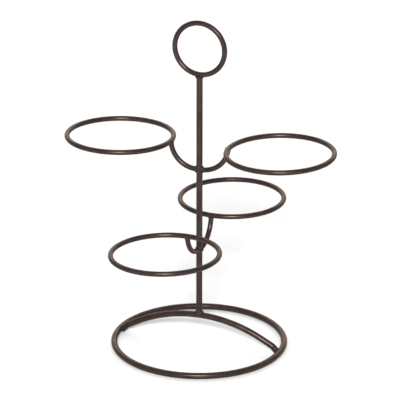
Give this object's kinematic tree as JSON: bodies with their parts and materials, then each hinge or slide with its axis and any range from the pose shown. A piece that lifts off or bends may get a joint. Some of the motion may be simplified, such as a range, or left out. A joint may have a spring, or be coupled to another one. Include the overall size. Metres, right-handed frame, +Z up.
{
  "type": "mug tree",
  "caption": "Welded round-rod stand: level cup rings on curved arms at two heights around a stem, on an arched bar in a base ring, with a lifting ring on top.",
  "frame": {"origin": "centre of the base ring, on the table", "axes": "+Z up along the stem, +X along the upper pair of arms and along the arched bar, +Y towards the back ring of the lower pair"},
  "size_m": [0.2804, 0.28, 0.3446],
  "materials": {
    "rod_coat": "satin dark bronze powder coat on steel rod",
    "weld_coat": "the same coat over weld metal, a little rougher"
  },
  "bodies": {
    "root": {"base_ring": "rod_coat", "base_arch": "rod_coat", "stem": "rod_coat", "finial_ring": "rod_coat", "arm_right": "rod_coat", "arm_left": "rod_coat", "arm_back": "rod_coat", "arm_front": "rod_coat", "cup_ring_right": "rod_coat", "cup_ring_left": "rod_coat", "cup_ring_back": "rod_coat", "cup_ring_front": "rod_coat", "weld_finial": "weld_coat", "weld_stem_foot": "weld_coat", "weld_arch_right": "weld_coat", "weld_arch_left": "weld_coat", "weld_root_right": "weld_coat", "weld_root_left": "weld_coat", "weld_root_back": "weld_coat", "weld_root_front": "weld_coat", "weld_tip_right": "weld_coat", "weld_tip_left": "weld_coat", "weld_tip_back": "weld_coat", "weld_tip_front": "weld_coat"}
  },
  "joints": []
}
